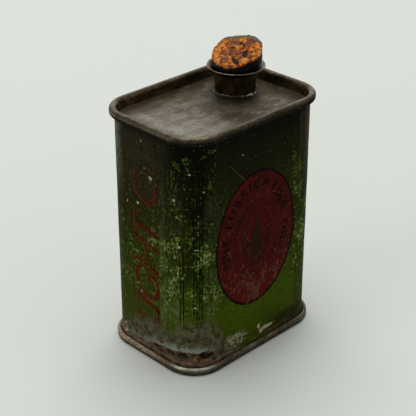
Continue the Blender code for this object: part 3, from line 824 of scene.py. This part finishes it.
def cork_material(name):
    """Orange broken cork on the cut top, black with oil on the side, grey at the back edge."""
    s = Shader(name)
    tone = s.noise(1.7, 4, seed=71.0, rough=0.6)
    drift = s.math("SUBTRACT", s.noise(5.0, 2, seed=72.0), 0.5)
    shifted = s.plus(drift, 0.45, tone)
    colour = s.stops(shifted, (
        (0.28, (92, 46, 30)), (0.40, (146, 76, 42)), (0.48, (192, 110, 44)),
        (0.56, (214, 130, 52)), (0.68, (234, 160, 80)),
    ))
    fine = s.noise(0.7, 4, seed=73.0, rough=0.65)
    colour = s.mix(s.times(s.ramp(fine, 0.47, 0.35), 0.7), colour, (96, 48, 28))
    edges = s.cell_edges(1.4, seed=74.0)
    colour = s.mix(s.times(s.ramp(edges, 0.10, 0.02), s.ramp(tone, 0.60, 0.42), 0.85), colour, (64, 34, 22))
    marks = {}
    for kind in CORK_MARK_KINDS:
        marks[kind] = s.add("Attribute", {}, "Fac", attribute_name=kind)
    brown = s.mix(s.ramp(fine, 0.38, 0.62), (76, 44, 38), (146, 90, 64))
    colour = s.mix(s.times(marks["brown"], 0.9), colour, brown)
    colour = s.mix(marks["bark"], colour, s.mix(fine, (74, 73, 60), (128, 127, 112)))
    colour = s.mix(marks["pit"], colour, s.mix(fine, (22, 20, 20), (52, 48, 48)))
    colour = s.mix(marks["side"], colour, (9, 7, 5))
    rough = s.blend(marks["side"], 0.85, 0.5)
    height = s.plus(edges, 0.4, fine)
    return s.finish(colour, rough, 0.0, s.bump(height, 0.35 * MM), specular=0.12)


# ---------------------------------------------------------------- sheet pieces


def body_section():
    lower_hook = arc((BASE_CENTRE, TIN / 2 + BASE_RADIUS), BASE_RADIUS - TIN - GAP, 370, 180, 8)
    flare = []
    for rise in np.linspace(0, 1, 6):
        offset = BODY_MIDDLE + (SKIRT_OFFSET - BODY_MIDDLE) * (1 - rise) ** 2
        flare.append((offset, RIM_HEIGHT + (SKIRT_HEIGHT - RIM_HEIGHT) * rise))
    upper_centre = (CURL_CENTRE, CAN_HEIGHT - TIN / 2 - CURL_RADIUS)
    wall = [(BODY_MIDDLE, z) for z in np.linspace(SKIRT_HEIGHT, upper_centre[1], 52)[1:-1]]
    return lower_hook + flare + wall + arc(upper_centre, CURL_RADIUS - TIN - GAP, 180, -10, 8)


def body_shape(place, normal):
    """Slight waviness near the body's ends and corners. The printed faces' middles stay flat."""
    edge = max(0.0, abs(place[2] - CAN_HEIGHT / 2) / MM - 40) / 5
    corner = 1 - max(abs(normal.x), abs(normal.y))
    amount = 0.10 * MM * edge + 0.35 * MM * corner
    return amount * lump(place, 11 * MM, 4.0)


def top_section():
    panel = TOP_PANEL - TIN / 2
    bend = arc((WALL_OFFSET - PANEL_BEND, panel + PANEL_BEND), PANEL_BEND, -90, 0, 5)
    upper = arc((CURL_CENTRE, CAN_HEIGHT - TIN / 2 - CURL_RADIUS), CURL_RADIUS, 180, 0, 16)
    tucked_in = math.degrees(math.asin((CURL_CENTRE - GAP - TIN / 2) / CURL_RADIUS))
    lower_centre = (CURL_CENTRE, CAN_HEIGHT - RIM_HEIGHT + TIN / 2 + CURL_RADIUS)
    return bend + upper + arc(lower_centre, CURL_RADIUS, 0, -90 - tucked_in, 9)


def bottom_section():
    panel = BOTTOM_PANEL - TIN / 2
    bend = arc((WALL_OFFSET - PANEL_BEND, panel - PANEL_BEND), PANEL_BEND, 90, 0, 5)
    low = TIN / 2 + BASE_RADIUS
    inner = arc((WALL_OFFSET + BASE_RADIUS, low), BASE_RADIUS, 180, 270, 6)
    outer = arc((BASE_CENTRE, low), BASE_RADIUS, -90, 0, 8)
    upper_centre = (BASE_CENTRE, RIM_HEIGHT - TIN / 2 - BASE_RADIUS)
    return bend + inner + outer + arc(upper_centre, BASE_RADIUS, 0, 90, 8)


def rim_shape(place, normal):
    """Panels bow and ripple a little, and rims waver as hand-rolled ones do."""
    if normal.z > 0.5:
        inset = max(0.0, 1 - max(abs(place[0]) / BODY_X, abs(place[1]) / BODY_Y))
        bow = 0.22 * MM * lump(place, 15 * MM, 6.0) + 0.05 * MM * lump(place, 4 * MM, 7.0)
        return min(1, 5 * inset) * bow
    return 0.06 * MM * lump(place, 6 * MM, 9.0) + 0.03 * MM * lump(place, 2 * MM, 9.5)


def make_body(material):
    body = wrapped_sheet("body_sheet", body_section(), body_shape, material)
    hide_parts("body_shell")
    return body


def make_top_end(material):
    top = wrapped_sheet("top_rim_and_panel", top_section(), rim_shape, material, TOP_PANEL_RINGS)
    bm = bmesh.new()
    radius = FILLET_HIGH.x - NECK_AXIS.x - HOLE_INSET
    bmesh.ops.create_cone(bm, cap_ends=True, segments=64, radius1=radius, radius2=radius, depth=HOLE_DEPTH)
    hole = add_object("neck_hole", mesh_of("neck_hole", bm))
    hole.location = (NECK_AXIS.x, NECK_AXIS.y, TOP_PANEL)
    boolean = top.modifiers.new("neck hole", "BOOLEAN")
    boolean.operation = "DIFFERENCE"
    boolean.object = hole
    apply_modifiers(top)
    bpy.data.objects.remove(hole)
    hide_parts("top_end")
    return top


def make_bottom_end(material):
    base = wrapped_sheet("base_rim_and_panel", bottom_section(), rim_shape, material, BASE_PANEL_RINGS)
    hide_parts("bottom_end")
    return base


def apply_modifiers(obj):
    graph = bpy.context.evaluated_depsgraph_get()
    mesh = bpy.data.meshes.new_from_object(obj.evaluated_get(graph))
    obj.modifiers.clear()
    obj.data = mesh


def make_side_seam(material):
    """The strip of solder on the hidden narrow face, lumpy along its length."""
    half = (SEAM_HIGH.y - SEAM_LOW.y) / 2
    rings = []
    for row in range(SEAM_ROWS + 1):
        z = SEAM_LOW.z + (SEAM_HIGH.z - SEAM_LOW.z) * row / SEAM_ROWS
        wide = half * (0.86 + 0.12 * lump((0, 0, z), 4 * MM, 2.0))
        tall = (SEAM_HIGH.x - SEAM_LOW.x) * (0.8 + 0.18 * lump((0, 0, z), 2.5 * MM, 5.0))
        ring = []
        for angle in np.linspace(0, math.pi, 9):
            ring.append((SEAM_LOW.x + tall * math.sin(angle), SEAM_MIDDLE - wide * math.cos(angle), z))
        rings.append(ring)
    verts, faces = closed_grid(rings, True, True)
    strip = mesh_object("side_seam_strip", verts, faces, material)
    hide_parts("side_seam_solder")
    return strip


# ---------------------------------------------------------------- neck and cork


def tube_radius(height):
    """The outside of the tube, from the panel up."""
    return NECK_RADIUS + NECK_TAPER * (height - TOP_PANEL) / (LIP_TOP - LIP_FLARE - TOP_PANEL)


def neck_shape(radius, angle, height):
    """A lip pushed slightly out of round and out of level."""
    flare = max(0.0, (radius - tube_radius(TOP_PANEL)) / (LIP_RADIUS - tube_radius(TOP_PANEL)))
    out = 0.16 * MM * flare * math.cos(angle + 0.7) + 0.09 * MM * flare * math.cos(2 * angle + 1.0)
    lift = 0.10 * MM * flare * math.sin(angle - 0.4) - 0.08 * MM * flare
    return radius + out - 0.25 * MM * flare, height + lift


def make_neck(material):
    foot = TOP_PANEL - TIN - GAP - NECK_TIN / 2
    foot_radius = tube_radius(foot) - NECK_TIN / 2
    start = LIP_TOP - LIP_FLARE - 0.1 * MM
    top_radius = tube_radius(start) - NECK_TIN / 2
    out = (LIP_RADIUS - 0.05 * MM - top_radius) / (1 - math.cos(LIP_TURN))
    rise = LIP_FLARE / math.sin(LIP_TURN)
    flare = []
    for t in np.linspace(0, LIP_TURN, 14):
        flare.append((top_radius + out * (1 - math.cos(t)), start + rise * math.sin(t)))
    bend = arc((foot_radius + FOOT_BEND, foot + FOOT_BEND), FOOT_BEND, 270, 180, 5)
    tube = [(tube_radius(z) - NECK_TIN / 2, z) for z in np.linspace(bend[-1][1], start, 8)[1:-1]]
    profile = [(foot_radius + FOOT_WIDTH, foot)] + bend + tube + flare
    neck = turned("neck_tube", profile, material, neck_shape, NECK_TIN)
    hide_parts("neck")
    return neck


def fillet_shape(radius, angle, height):
    """Solder that flowed unevenly: wide lobes, with a high spot or two."""
    lobes = 0.5 + 0.5 * noise.noise(Vector((2.2 * math.cos(angle), 2.2 * math.sin(angle), 3.0)))
    fine = noise.noise(Vector((7 * math.cos(angle), 7 * math.sin(angle), 9.0)))
    base = NECK_AXIS.x - FILLET_LOW.x
    tube = tube_radius(TOP_PANEL) + 0.1 * MM
    share = (radius - tube) / (base - tube)
    width = (base - tube) * (0.45 + 0.42 * lobes + 0.10 * fine)
    tall = (height - FILLET_LOW.z) * (0.42 + 0.35 * lobes + 0.10 * fine)
    return tube + share * width, FILLET_LOW.z + tall


def make_fillet(material):
    tube = tube_radius(TOP_PANEL) + 0.1 * MM
    width = NECK_AXIS.x - FILLET_LOW.x - tube
    tall = FILLET_HIGH.z - FILLET_LOW.z
    curve = []
    for t in np.linspace(0, math.pi / 2, 9):
        curve.append((tube + width * (1 - math.sin(t)), FILLET_LOW.z + tall * (1 - math.cos(t))))
    profile = curve[::-1] + [(tube, FILLET_LOW.z)]
    fillet = turned("neck_fillet", profile, material, fillet_shape, closed=True)
    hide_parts("neck_solder")
    return fillet


CORK_CUT = math.radians(20.5)
CORK_CUT_TOWARDS = math.radians(190)
CORK_RISE = 4.95 * MM
CORK_RADIUS = 8.5 * MM
CORK_STEPS = 220
CORK_RINGS = 76
CORK_SIDE_RINGS = 30
CORK_MARK_KINDS = ("pit", "brown", "bark", "side")
BARK_TOWARDS = math.radians(22)
BARK_RINGS = 5  # how far down the side the grey bark goes
BARK_SPREAD = 0.55  # the cosine of how far round it goes
CORK_AXIS = (17.7 * MM, 6.25 * MM)  # above the lip, where it leans a little
# Marks in the broken top: place from its middle, half length, half width, turn, depth, blackness
CORK_MARKS = (
    (3.6, 0.8, 2.0, 0.45, 1.35, 0.9, 1.0),
    (-0.1, -3.7, 2.2, 1.00, 0.80, 0.6, 0.95),
    (-4.2, -3.3, 2.3, 0.95, 1.15, 0.7, 1.0),
    (-1.5, 5.9, 0.55, 0.45, 0.0, 0.7, 1.0),
    (-7.0, 1.2, 0.7, 0.45, 0.6, 0.6, 0.9),
    (1.7, -5.2, 0.55, 0.45, 0.2, 0.6, 0.9),
    (0.7, 2.2, 1.6, 0.40, 2.2, 0.5, 0.4),
)
CORK_BROWN = (
    (-5.4, 1.0, 2.3, 1.0, 1.6), (4.9, -1.2, 1.9, 1.2, 0.6), (2.6, 3.6, 2.6, 1.3, 2.0),
    (-4.4, -4.6, 1.6, 0.5, 2.3), (-1.0, 1.0, 2.6, 1.3, 0.8), (-3.0, 3.4, 2.0, 0.9, 1.0),
)


def cork_outline(angle):
    """How far out the cork's edge is, for its nominal radius: broken flat in two places."""
    from_long_axis = angle - math.radians(105)
    wide = 1.0 + 0.055 * math.cos(2 * from_long_axis) + 0.02 * math.cos(from_long_axis)
    for flat, depth, spread in ((-110, 0.10, 20), (40, 0.07, 26)):
        away = (math.degrees(angle) - flat + 180) % 360 - 180
        wide -= depth * math.exp(-(away / spread) ** 2)
    return wide + 0.018 * noise.noise(Vector((3 * math.cos(angle), 3 * math.sin(angle), 5)))


def cork_side_radius(height):
    """The cork's side: squeezed in the tube, swollen over the lip."""
    lip = LIP_TOP
    start = lip - LIP_FLARE
    waist = tube_radius(start) - NECK_TIN - 0.25 * MM
    end = tube_radius(CORK_LOW.z) - NECK_TIN - 0.6 * MM
    heights = [CORK_LOW.z, CORK_LOW.z + 0.5 * MM, start, start + 0.25 * LIP_FLARE, lip - 0.35 * LIP_FLARE]
    radii = [end - 0.5 * MM, end, waist, waist, waist + 0.4 * (CORK_RADIUS - waist)]
    heights += [lip, lip + 1.5 * MM, lip + 10 * MM]
    radii += [CORK_RADIUS - 0.35 * MM, CORK_RADIUS, CORK_RADIUS]
    return float(np.interp(height, heights, radii))


def cork_top_height(x, y):
    """The broken top's slant; make_cork adds its unevenness."""
    along = x * math.cos(CORK_CUT_TOWARDS) + y * math.sin(CORK_CUT_TOWARDS)
    return LIP_TOP + CORK_RISE - math.tan(CORK_CUT) * along


def mark_amount(x, y, centre_x, centre_y, length, width, turn):
    """1 in the middle of a ragged mark, falling to 0 at its edge."""
    dx, dy = x / MM - centre_x, y / MM - centre_y
    along = (dx * math.cos(turn) + dy * math.sin(turn)) / length
    across = (-dx * math.sin(turn) + dy * math.cos(turn)) / width
    wobble = 0.5 * lump((x, y, 0), 0.9 * MM, 3.0)
    return max(0.0, min(1.0, 2.6 * (1.2 + wobble - math.hypot(along, across))))


def make_cork(material):
    """A closed skin: rings out across the broken top, then down the side to the hidden end."""
    rings = []
    marks = {kind: [] for kind in CORK_MARK_KINDS}

    def mark(*amounts):
        for kind, value in zip(CORK_MARK_KINDS, amounts):
            marks[kind].append(value)

    for k in range(CORK_RINGS + 1):
        share = max(0.01, k / CORK_RINGS)
        ring = []
        for step in range(CORK_STEPS):
            angle = math.tau * step / CORK_STEPS
            r = CORK_RADIUS * cork_outline(angle) * share
            x, y = r * math.cos(angle), r * math.sin(angle)
            grain = 0.30 * MM * lump((x, y, 0), 1.7 * MM, 1.0) + 0.18 * MM * lump((x, y, 0), 0.8 * MM, 2.0)
            bulk = 0.5 * MM * lump((x, y, 0), 4.5 * MM, 8.0)
            rounding = 0.35 * MM * max(0.0, (share - 0.9) / 0.1) ** 2
            pit = dark = 0.0
            for *place, depth, black in CORK_MARKS:
                amount = mark_amount(x, y, *place)
                pit = max(pit, amount * depth)
                dark = max(dark, amount * black)
            brown = max(mark_amount(x, y, *place) for place in CORK_BROWN)
            towards_back = max(0.0, math.cos(angle - BARK_TOWARDS))
            ragged = 0.05 * lump((x, y, 0), 1.2 * MM, 11.0)
            bark = max(0.0, min(1.0, (share * (0.72 + 0.28 * towards_back) - 0.755 + ragged) * 12))
            z = cork_top_height(x, y) + grain + bulk - rounding - 0.9 * MM * pit + 0.55 * MM * bark
            ring.append((CORK_AXIS[0] + x, CORK_AXIS[1] + y, z))
            mark(dark, brown, bark, 0.0)
        rings.append(ring)
    top_ring = rings[-1]
    for k in range(1, CORK_SIDE_RINGS + 1):
        ring = []
        for step, (_, _, top) in enumerate(top_ring):
            angle = math.tau * step / CORK_STEPS
            z = top + (CORK_LOW.z - top) * k / CORK_SIDE_RINGS
            above = max(0.0, min(1.0, (z - LIP_TOP) / (2 * MM)))
            r = cork_side_radius(z) * (1 + above * (cork_outline(angle) - 1))
            rough = 0.14 * MM * lump((r * math.cos(angle), r * math.sin(angle), z), 1.2 * MM, 6.0)
            r += rough * min(1, k / 3) * above
            centre_x = NECK_AXIS.x + (CORK_AXIS[0] - NECK_AXIS.x) * above
            centre_y = NECK_AXIS.y + (CORK_AXIS[1] - NECK_AXIS.y) * above
            ring.append((centre_x + r * math.cos(angle), centre_y + r * math.sin(angle), z))
            bark = k < BARK_RINGS and math.cos(angle - BARK_TOWARDS) > BARK_SPREAD
            mark(0.0, 0.0, float(bark), 0.0 if bark else min(1.0, 0.35 + k / 3))
        rings.append(ring)
    verts, faces = closed_grid(rings, True, True)
    cork = mesh_object("broken_cork", verts, faces, material)
    for kind, values in marks.items():
        attribute = cork.data.attributes.new(kind, "FLOAT", "POINT")
        attribute.data.foreach_set("value", np.array(values, dtype=np.float32))
    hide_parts("cork_stopper")
    return cork


# ---------------------------------------------------------------- printing


def thin_solid(bm):
    """Thickens flat faces at z = 0 into a closed solid whose faces look outwards."""
    for vert in bm.verts:
        vert.co.z = -INK / 3
    for item in bmesh.ops.extrude_face_region(bm, geom=bm.faces[:])["geom"]:
        if isinstance(item, bmesh.types.BMVert):
            item.co.z = INK / 3
    bmesh.ops.recalc_face_normals(bm, faces=bm.faces)
    if bm.calc_volume(signed=True) < 0:
        bmesh.ops.reverse_faces(bm, faces=bm.faces)
    return mesh_of("thin_solid", bm)


def letter_shape(character, size, slant=0.0, grow=0.0, curve_steps=5):
    """One letter as a thin flat solid in its own plane, its stroke grown or thinned."""
    text = bpy.data.curves.new("letter", "FONT")
    text.body = character
    text.size = size
    text.shear = slant
    text.offset = grow
    text.resolution_u = curve_steps
    obj = add_object("letter", text)
    bpy.context.view_layer.update()
    graph = bpy.context.evaluated_depsgraph_get()
    bm = bmesh.new()
    bm.from_mesh(bpy.data.meshes.new_from_object(obj.evaluated_get(graph)))
    bpy.data.objects.remove(obj)
    bmesh.ops.remove_doubles(bm, verts=bm.verts, dist=1e-7)
    bmesh.ops.dissolve_degenerate(bm, dist=1e-6, edges=bm.edges)
    bmesh.ops.beautify_fill(bm, faces=bm.faces, edges=bm.edges)
    return thin_solid(bm)


def word_letters(words, *looks):
    """Each letter's shape, or None for a space."""
    return [letter_shape(c, *looks) if c != " " else None for c in words]


def letter_extents(letters, space):
    """Each letter's lowest and highest x, or a space's."""
    extents = []
    for letter in letters:
        across = [v.co.x for v in letter.vertices] if letter else (0, space)
        extents.append((min(across), max(across)))
    return extents


def print_on_sheet(name, shapes, to_can, to_sheet, material):
    """Joins placed flat meshes into one printed piece.

    shapes holds (mesh, function from the letter's plane to the face's plane, layer). to_can puts a
    point of the face's plane on the can, and to_sheet gives its place on the printed sheet.
    """
    bm = bmesh.new()
    for mesh, place, layer in shapes:
        first = len(bm.verts)
        bm.from_mesh(mesh)
        bm.verts.ensure_lookup_table()
        for vert in bm.verts[first:]:
            across, up = place(vert.co.x, vert.co.y)
            vert.co = (across, up, vert.co.z + INK * layer)
    places = []
    for vert in bm.verts:
        across, up, out = vert.co
        places.append(to_sheet(across, up))
        vert.co = to_can(across, up, out)
    obj = add_object(name, mesh_of(name, bm))
    obj.data.materials.append(material)
    add_sheet_places(obj, places)
    return obj


def wide_face(behind):
    """Takes points of a wide face's plane, in metres from its middle and above the table."""
    side = -1 if behind else 1

    def to_can(across, up, out):
        return (side * across, side * (-BODY_Y - out), up)

    def to_sheet(across, up):
        return ((across + STRAIGHT_X + QUARTER / 2) / MM + behind * 2 * HALF_ROUND, up / MM, 20.0)

    return to_can, to_sheet


def narrow_face(behind):
    """The same for a narrow face."""
    side = -1 if behind else 1

    def to_can(across, up, out):
        return (side * (-BODY_X - out), side * -across, up)

    def to_sheet(across, up):
        return ((across - STRAIGHT_Y - QUARTER / 2) / MM + behind * 2 * HALF_ROUND, up / MM, 20.0)

    return to_can, to_sheet


SIDE_WORDS = "LIGHT OIL"
SIDE_SPACE = 4.5 * MM
SIDE_START = 13.0 * MM
SIDE_END = 84.0 * MM
SIDE_BASELINE = 5.0 * MM
SIDE_SIZE = 17.6 * MM
SIDE_SLANT = 0.22
SIDE_GROWTH = 0.12 * MM  # the strokes are drawn this much bolder
INLINE_GROWTH = -0.42 * MM


def side_letters(grow, layer):
    """Tall slanted capitals that read up the narrow face."""
    letters = word_letters(SIDE_WORDS, SIDE_SIZE, SIDE_SLANT, grow)
    extents = letter_extents(word_letters(SIDE_WORDS, SIDE_SIZE, SIDE_SLANT), SIDE_SPACE)
    widths = [high - low for low, high in extents]
    spacing = (SIDE_END - SIDE_START - sum(widths)) / (len(letters) - 1)
    shapes = []
    start = SIDE_START
    for mesh, (low, _), width in zip(letters, extents, widths):
        if mesh:
            shapes.append((mesh, lambda x, y, rise=start - low: (SIDE_BASELINE - y, rise + x), layer))
        start += width + spacing
    return shapes


OVAL_WORDS = "FINE LUBRICATING OIL"
OVAL_TRACK = 6.2 * MM  # the letters' baseline, from the oval's edge
OVAL_SIZE = 4.7 * MM
OVAL_SPACE = 2.0 * MM
OVAL_GROWTH = 0.12 * MM
OVAL_CURVE_STEPS = 3


def oval_middle():
    return (OVAL_ROUND * MM - STRAIGHT_X - QUARTER / 2, OVAL_HEIGHT * MM)


def oval_letters():
    """Words that follow the oval's upper edge."""
    half_width = OVAL_HALF_WIDTH * MM - OVAL_TRACK
    half_height = OVAL_HALF_HEIGHT * MM - OVAL_TRACK
    middle_x, middle_y = oval_middle()
    angles = np.radians(np.linspace(200, -20, 400))
    track = np.c_[middle_x + half_width * np.cos(angles), middle_y + half_height * np.sin(angles)]
    travelled = np.concatenate(([0], np.cumsum(np.linalg.norm(np.diff(track, axis=0), axis=1))))
    letters = word_letters(OVAL_WORDS, OVAL_SIZE, 0.0, OVAL_GROWTH, OVAL_CURVE_STEPS)
    extents = letter_extents(letters, OVAL_SPACE)
    widths = [high - low for low, high in extents]
    spacing = (travelled[-1] - sum(widths)) / (len(letters) - 1)
    shapes = []
    reached = 0.0
    for mesh, (low, high), width in zip(letters, extents, widths):
        if mesh:
            at = reached + width / 2
            x0, x1 = np.interp((at, at + 0.5 * MM), travelled, track[:, 0])
            y0, y1 = np.interp((at, at + 0.5 * MM), travelled, track[:, 1])
            turn = math.atan2(y1 - y0, x1 - x0)
            shapes.append((mesh, turned_place((x0, y0), turn, (low + high) / 2), 1))
        reached += width + spacing
    return shapes


def turned_place(origin, turn, middle):
    def place(x, y):
        x -= middle
        cos, sin = math.cos(turn), math.sin(turn)
        return origin[0] + x * cos - y * sin, origin[1] + x * sin + y * cos

    return place


def flat_shape(points):
    """A thin flat solid from one closed outline."""
    bm = bmesh.new()
    bm.faces.new([bm.verts.new((x, y, 0)) for x, y in points])
    return thin_solid(bm)


DROP_WIDTH = 4.1 * MM
DROP_HEIGHT = 8.4 * MM  # half of the drop's height
BARS = ((-9.6 * MM, 3.2 * MM), (-11.2 * MM, 2.2 * MM))  # each bar's height and half length
BAR_HALF_HEIGHT = 0.4 * MM
SPRAY_ANGLES = ((-60, 48), (240, 132))
SPRAY_REACH = 10.2 * MM
SPRAY_WIDTH = 1.5 * MM
SPRAY_SQUEEZE = 0.62
EMBLEM_RISE = 1.2 * MM


def spray(start, end):
    """A tapering curved stroke round the emblem's middle, between two angles in degrees."""
    outer = []
    inner = []
    for t in np.linspace(0, 1, 25):
        angle = math.radians(start + (end - start) * t)
        thick = SPRAY_WIDTH * math.sin(math.pi * t) ** 0.7 / 2 + 0.04 * MM
        for side, edge in ((1, outer), (-1, inner)):
            reach = SPRAY_REACH + side * thick
            edge.append((reach * math.cos(angle) * SPRAY_SQUEEZE, reach * math.sin(angle)))
    return outer + inner[::-1]


def emblem():
    """An oil drop between two curved sprays, over two short bars."""
    middle_x, middle_y = oval_middle()
    drop = []
    for t in np.linspace(0, math.tau, 56, endpoint=False):
        drop.append((DROP_WIDTH * math.sin(t) * math.sin(t / 2) ** 1.5, DROP_HEIGHT * math.cos(t)))
    outlines = [drop]
    for height, half in BARS:
        low, high = height - BAR_HALF_HEIGHT, height + BAR_HALF_HEIGHT
        outlines.append([(-half, low), (half, low), (half, high), (-half, high)])
    for start, end in SPRAY_ANGLES:
        outlines.append(spray(start, end))
    place = turned_place((middle_x, middle_y + EMBLEM_RISE), 0.0, 0.0)
    return [(flat_shape(points), place, 1) for points in outlines]


def make_print(red, dark_red, black, olive):
    """The lettering and emblem, on the faces in view and again on the hidden ones."""
    made = []
    for behind in (False, True):
        prefix = "far_" if behind else ""
        side = narrow_face(behind)
        front = wide_face(behind)
        for name, shapes, face, ink in (
            ("side_lettering", side_letters(SIDE_GROWTH, 1), side, red),
            ("side_lettering_inline", side_letters(INLINE_GROWTH, 2), side, dark_red),
            ("oval_lettering", oval_letters(), front, black),
            ("oval_emblem", emblem(), front, olive),
        ):
            made.append(print_on_sheet(prefix + name, shapes, *face, ink))
    return made


# ---------------------------------------------------------------- stage


def stage_material():
    s = Shader("pale_floor")
    colour = s.mix(s.noise(400, 2), (222, 226, 220), (228, 231, 226))
    return s.finish(colour, 0.8, specular=0.2)


def make_stage():
    bpy.ops.mesh.primitive_plane_add(size=8)
    floor = bpy.context.object
    floor.name = "floor"
    floor.data.materials.append(stage_material())


def area_light(name, energy, size, place, target):
    light = bpy.data.lights.new(name, "AREA")
    light.shape = "RECTANGLE"
    light.size, light.size_y = size
    light.energy = energy
    obj = add_object(name, light)
    obj.location = place
    obj.rotation_euler = (Vector(target) - Vector(place)).to_track_quat("-Z", "Y").to_euler()


def make_lights():
    """A room of pale walls with a broad soft light overhead, and weaker ones behind and left."""
    area_light("top_softbox", 15, (1.3, 1.3), (0.25, 0.35, 1.8), (0, 0, 0))
    area_light("back_softbox", 16, (3.2, 2.0), (1.6, 1.7, 1.15), (0, 0, 0.05))
    area_light("left_fill", 5, (0.9, 0.9), (-1.7, 0.4, 0.9), (0, 0, 0.05))
    world = bpy.data.worlds.new("room")
    world.use_nodes = True
    background = world.node_tree.nodes["Background"]
    background.inputs["Color"].default_value = (0.98, 1, 0.97, 1)
    background.inputs["Strength"].default_value = 0.42
    bpy.context.scene.world = world
    bpy.context.scene.view_settings.view_transform = "Standard"


def make_camera():
    data = bpy.data.cameras.new("view")
    data.angle = VIEW_WIDTH
    data.clip_start = 0.01
    camera = add_object("view", data)
    level, rise = math.cos(VIEW_ELEVATION), math.sin(VIEW_ELEVATION)
    away = Vector((math.sin(VIEW_AZIMUTH) * level, -math.cos(VIEW_AZIMUTH) * level, rise))
    camera.location = VIEW_TARGET + away * VIEW_DISTANCE
    camera.rotation_euler = (-away).to_track_quat("-Z", "Y").to_euler()
    bpy.context.scene.camera = camera


# ---------------------------------------------------------------- the can


def main():
    make_camera()
    make_stage()
    make_lights()
    tin = tarnished_material("tarnished_tin")
    solder = solder_material("old_solder")
    on_can = [
        make_body(printed_material("printed_tin")),
        make_top_end(tin),
        make_bottom_end(tin),
        make_side_seam(solder),
        make_neck(neck_material("neck_tin")),
        make_fillet(solder),
    ]
    red = printed_material("red_print", (98, 28, 18))
    dark_red = printed_material("dark_red_print", (62, 20, 8))
    black = printed_material("black_print", (10, 6, 3))
    olive = printed_material("olive_print", (33, 23, 10))
    for piece in on_can + make_print(red, dark_red, black, olive):
        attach(piece, "can")
    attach(make_cork(cork_material("old_cork")), "cork")
    for node in ("top_seam_solder", "bottom_seam_solder"):
        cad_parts[node].data.materials[0] = solder


main()
bpy.context.view_layer.update()
